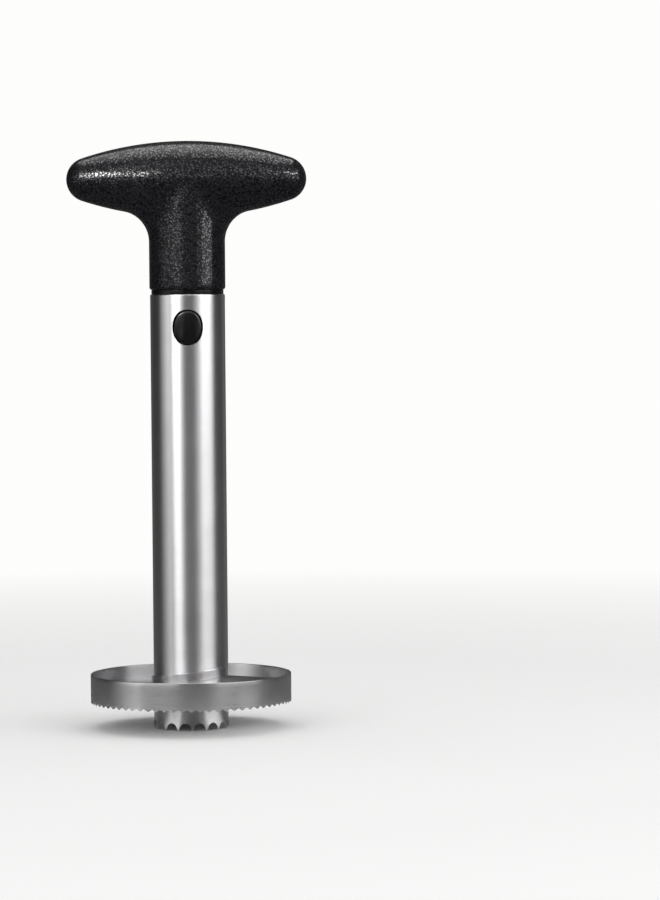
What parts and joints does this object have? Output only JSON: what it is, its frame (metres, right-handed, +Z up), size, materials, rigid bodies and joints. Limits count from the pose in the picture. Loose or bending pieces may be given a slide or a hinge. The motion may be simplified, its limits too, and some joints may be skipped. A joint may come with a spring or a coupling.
{
  "type": "pineapple slicer",
  "caption": "Pineapple slicer: a toothed steel coring tube with a peeling ring and a spiral blade at its foot, and a black T-handle that locks in the tube with two push buttons.",
  "frame": {"origin": "centre of the plane of the coring tube's tooth tips, on the tube's axis, where the standing tool rests", "axes": "+Z up along the tube, X along the handle's crossbar, -Y to the front, where the front button is"},
  "size_m": [0.1, 0.084, 0.245],
  "materials": {
    "tube_steel": "fine satin, brushed along the tube",
    "blade_steel": "rolled stainless sheet, bright ground edges",
    "grip_plastic": "black, fine pebble texture",
    "core_plastic": "dark grey moulded nylon",
    "plug_plastic": "black, glossy",
    "button_plastic": "black, satin face with a glossy rim",
    "screw_steel": "zinc-plated",
    "spring_steel": "drawn stainless wire"
  },
  "bodies": {
    "cutter": {"tube": "tube_steel", "peeling_ring": "blade_steel", "slicing_blade": "blade_steel"},
    "handle": {"grip": "grip_plastic", "handle_core": "core_plastic", "plug": "plug_plastic", "plug_end_cap": "plug_plastic", "plug_screw_left": "screw_steel", "plug_screw_right": "screw_steel", "front_button_spring": "spring_steel", "rear_button_spring": "spring_steel"},
    "front_button": {"front_button": "button_plastic"},
    "rear_button": {"rear_button": "button_plastic"}
  },
  "joints": [
    {"name": "handle_lift", "type": "slide", "parent": "cutter", "child": "handle", "axis": [0, 0, 1], "range_m": [0, 0.15]},
    {"name": "front_button_press", "type": "slide", "parent": "handle", "child": "front_button", "axis": [0, 1, 0], "range_m": [0, 0.003], "stiffness_N_per_m": 350, "springref_m": -0.004, "deforming": ["front_button_spring"]},
    {"name": "rear_button_press", "type": "slide", "parent": "handle", "child": "rear_button", "axis": [0, -1, 0], "range_m": [0, 0.003], "stiffness_N_per_m": 350, "springref_m": -0.004, "deforming": ["rear_button_spring"]}
  ]
}
